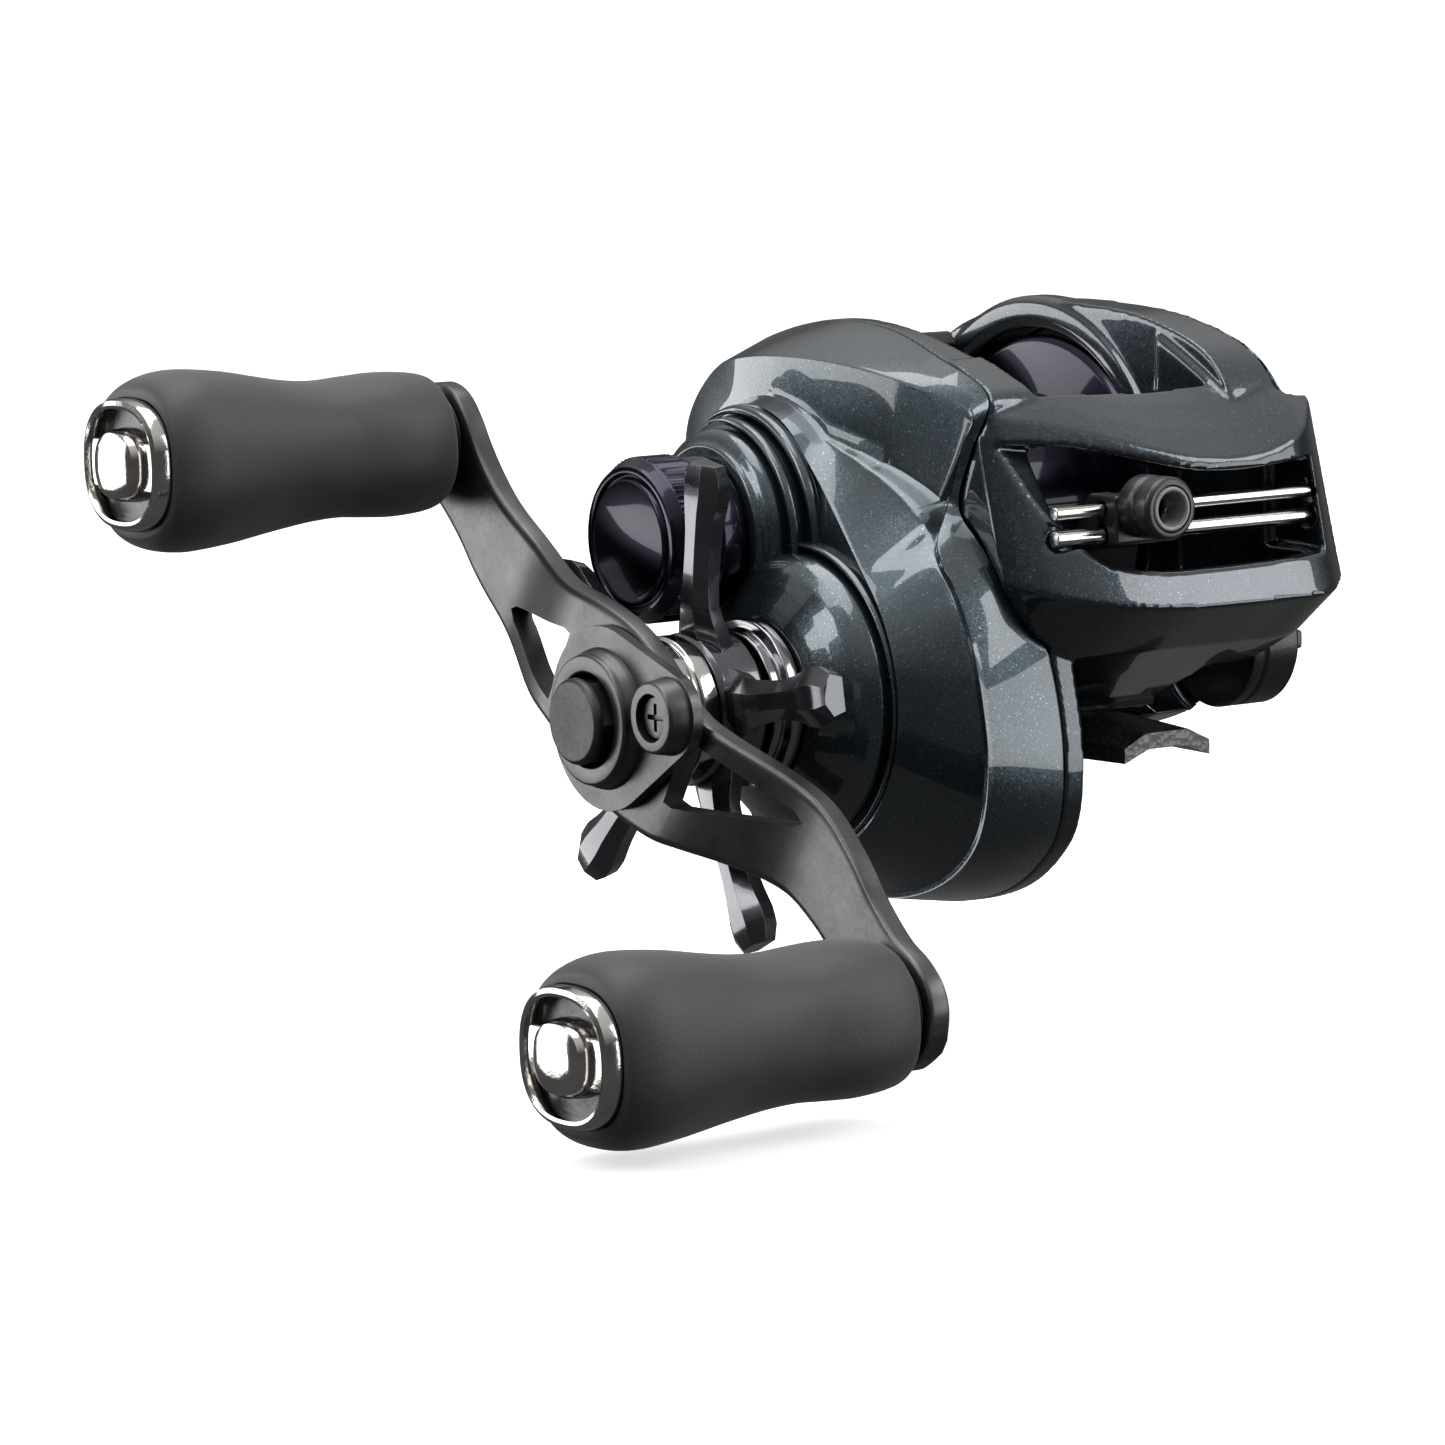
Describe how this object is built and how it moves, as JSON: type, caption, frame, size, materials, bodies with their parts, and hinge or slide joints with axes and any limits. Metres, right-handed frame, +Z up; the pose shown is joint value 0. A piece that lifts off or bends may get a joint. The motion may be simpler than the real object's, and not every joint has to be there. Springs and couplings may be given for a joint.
{
  "type": "baitcasting fishing reel",
  "caption": "low-profile baitcasting reel with swept double-knob handle, star drag, cast control cap, level-wind line guide, thumb clutch bar and reel foot",
  "frame": {"origin": "centre of the reel foot's flat underside, where it rests on the rod", "axes": "+Z up, away from the rod; -Y is the front, where the line leaves through the line guide; +Y is the rear, towards the angler; -X is the handle side; the spool turns about an axis along X"},
  "size_m": [0.1032, 0.0882, 0.0648],
  "materials": {
    "pearl_gunmetal": "clear-coated pearl gunmetal with fine flakes",
    "frame_gunmetal": "gloss gunmetal paint",
    "black_plastic": "black moulded plastic",
    "soft_grip": "soft-touch dark grey",
    "dark_anodised": "dark anodised satin",
    "navy_anodised": "dark navy anodised",
    "polished_steel": "polished",
    "bright_nickel": "bright nickel plate",
    "brass": "cut gear brass",
    "carbon_fibre": "woven carbon drag washer",
    "guide_ceramic": "polished ceramic"
  },
  "bodies": {
    "reel_body": {"main_frame": "frame_gunmetal", "handle_side_cover": "pearl_gunmetal", "palm_side_cover": "pearl_gunmetal", "reel_foot": "black_plastic", "foot_screw_front": "polished_steel", "foot_screw_rear": "polished_steel", "cover_screw_1": "polished_steel", "cover_screw_2": "polished_steel", "cover_screw_3": "polished_steel", "guide_rod_upper": "polished_steel", "guide_rod_lower": "polished_steel", "spool_bearing_handle": "polished_steel", "spool_bearing_palm": "polished_steel", "drive_shaft_bearing": "polished_steel", "anti_reverse_bearing": "polished_steel", "star_spacer": "bright_nickel", "brake_ring": "polished_steel", "cast_control_spacer": "brass"},
    "handle": {"drive_shaft": "polished_steel", "drive_gear": "brass", "wind_gear": "brass", "drag_washer": "carbon_fibre", "pressure_washer": "polished_steel", "anti_reverse_sleeve": "polished_steel", "drag_spring_washer": "polished_steel", "handle_spacer": "bright_nickel", "handle_arm": "dark_anodised", "nut_retainer": "dark_anodised", "handle_nut": "dark_anodised", "retainer_screw": "polished_steel", "knob_shaft_upper": "polished_steel", "knob_shaft_lower": "polished_steel"},
    "upper_knob": {"knob_upper": "soft_grip", "knob_cap_upper": "bright_nickel"},
    "lower_knob": {"knob_lower": "soft_grip", "knob_cap_lower": "bright_nickel"},
    "star": {"star_drag": "dark_anodised"},
    "star_nut": {"drag_nut": "brass"},
    "spool_set": {"spool": "navy_anodised", "spool_shaft": "polished_steel", "spool_pin": "polished_steel", "brake_hub": "dark_anodised", "brake_weight_1": "black_plastic", "brake_weight_2": "black_plastic", "brake_weight_3": "black_plastic", "brake_weight_4": "black_plastic"},
    "pinion": {"pinion_gear": "brass"},
    "yoke": {"clutch_yoke": "polished_steel"},
    "cam": {"clutch_cam": "polished_steel"},
    "thumb_lever": {"thumb_bar": "black_plastic"},
    "idler": {"idler_gear": "brass"},
    "worm": {"worm_gear": "brass", "worm_shaft": "polished_steel"},
    "guide_carriage": {"line_guide": "black_plastic", "guide_insert": "guide_ceramic", "pawl": "polished_steel", "pawl_cap": "polished_steel"},
    "cast_control": {"cast_control_cap": "navy_anodised"},
    "brake_knob": {"brake_dial": "dark_anodised"},
    "side_release": {"release_dial": "black_plastic"}
  },
  "joints": [
    {"name": "handle_turn", "type": "hinge", "parent": "reel_body", "child": "handle", "pos_m": [0, -0.00953, 0.00539], "axis": [1, 0, 0], "continuous": true},
    {"name": "upper_knob_spin", "type": "hinge", "parent": "handle", "child": "upper_knob", "pos_m": [0, 0.02586, 0.02802], "axis": [1, 0, 0], "continuous": true},
    {"name": "lower_knob_spin", "type": "hinge", "parent": "handle", "child": "lower_knob", "pos_m": [0, -0.04491, -0.01724], "axis": [1, 0, 0], "continuous": true},
    {"name": "star_turn", "type": "hinge", "parent": "handle", "child": "star", "pos_m": [0, -0.00953, 0.00539], "axis": [1, 0, 0], "range_deg": [-180, 180]},
    {"name": "star_nut_travel", "type": "slide", "parent": "star", "child": "star_nut", "axis": [1, 0, 0], "range_m": [-0.0004, 0.0004]},
    {"name": "spool_spin", "type": "hinge", "parent": "reel_body", "child": "spool_set", "pos_m": [0, 0.002, 0.0197], "axis": [1, 0, 0], "continuous": true},
    {"name": "yoke_lift", "type": "slide", "parent": "reel_body", "child": "yoke", "axis": [-1, 0, 0], "range_m": [0, 0.0013]},
    {"name": "pinion_spin", "type": "hinge", "parent": "yoke", "child": "pinion", "pos_m": [0, 0.002, 0.0197], "axis": [1, 0, 0], "continuous": true},
    {"name": "cam_turn", "type": "hinge", "parent": "reel_body", "child": "cam", "pos_m": [0, 0.002, 0.0197], "axis": [1, 0, 0], "range_deg": [0, 26]},
    {"name": "thumb_press", "type": "slide", "parent": "reel_body", "child": "thumb_lever", "axis": [0, 0.7001, -0.7141], "range_m": [0, 0.003]},
    {"name": "idler_spin", "type": "hinge", "parent": "reel_body", "child": "idler", "pos_m": [0, -0.02046, 0.00295], "axis": [1, 0, 0], "continuous": true},
    {"name": "worm_spin", "type": "hinge", "parent": "reel_body", "child": "worm", "pos_m": [0, -0.0229, 0.0114], "axis": [1, 0, 0], "continuous": true},
    {"name": "guide_travel", "type": "slide", "parent": "reel_body", "child": "guide_carriage", "axis": [1, 0, 0], "range_m": [-0.001, 0.015]},
    {"name": "cast_control_turn", "type": "hinge", "parent": "reel_body", "child": "cast_control", "pos_m": [0, 0.002, 0.0197], "axis": [1, 0, 0], "range_deg": [-180, 180]},
    {"name": "brake_knob_turn", "type": "hinge", "parent": "reel_body", "child": "brake_knob", "pos_m": [0, 0.002, 0.0197], "axis": [1, 0, 0], "range_deg": [-120, 120]},
    {"name": "side_release_turn", "type": "hinge", "parent": "reel_body", "child": "side_release", "pos_m": [0, -0.0176, 0.0076], "axis": [1, 0, 0], "range_deg": [0, 90]}
  ],
  "couplings": [
    {"joint": "star_nut_travel", "follows": "star_turn", "m_per_rad": 0.00011937},
    {"joint": "spool_spin", "follows": "handle_turn", "ratio": -6.5},
    {"joint": "pinion_spin", "follows": "handle_turn", "ratio": -6.5},
    {"joint": "idler_spin", "follows": "handle_turn", "ratio": -0.86667},
    {"joint": "worm_spin", "follows": "handle_turn", "ratio": 1.8571},
    {"joint": "yoke_lift", "follows": "thumb_press", "ratio": 0.4},
    {"joint": "cam_turn", "follows": "thumb_press", "rad_per_m": 145}
  ]
}
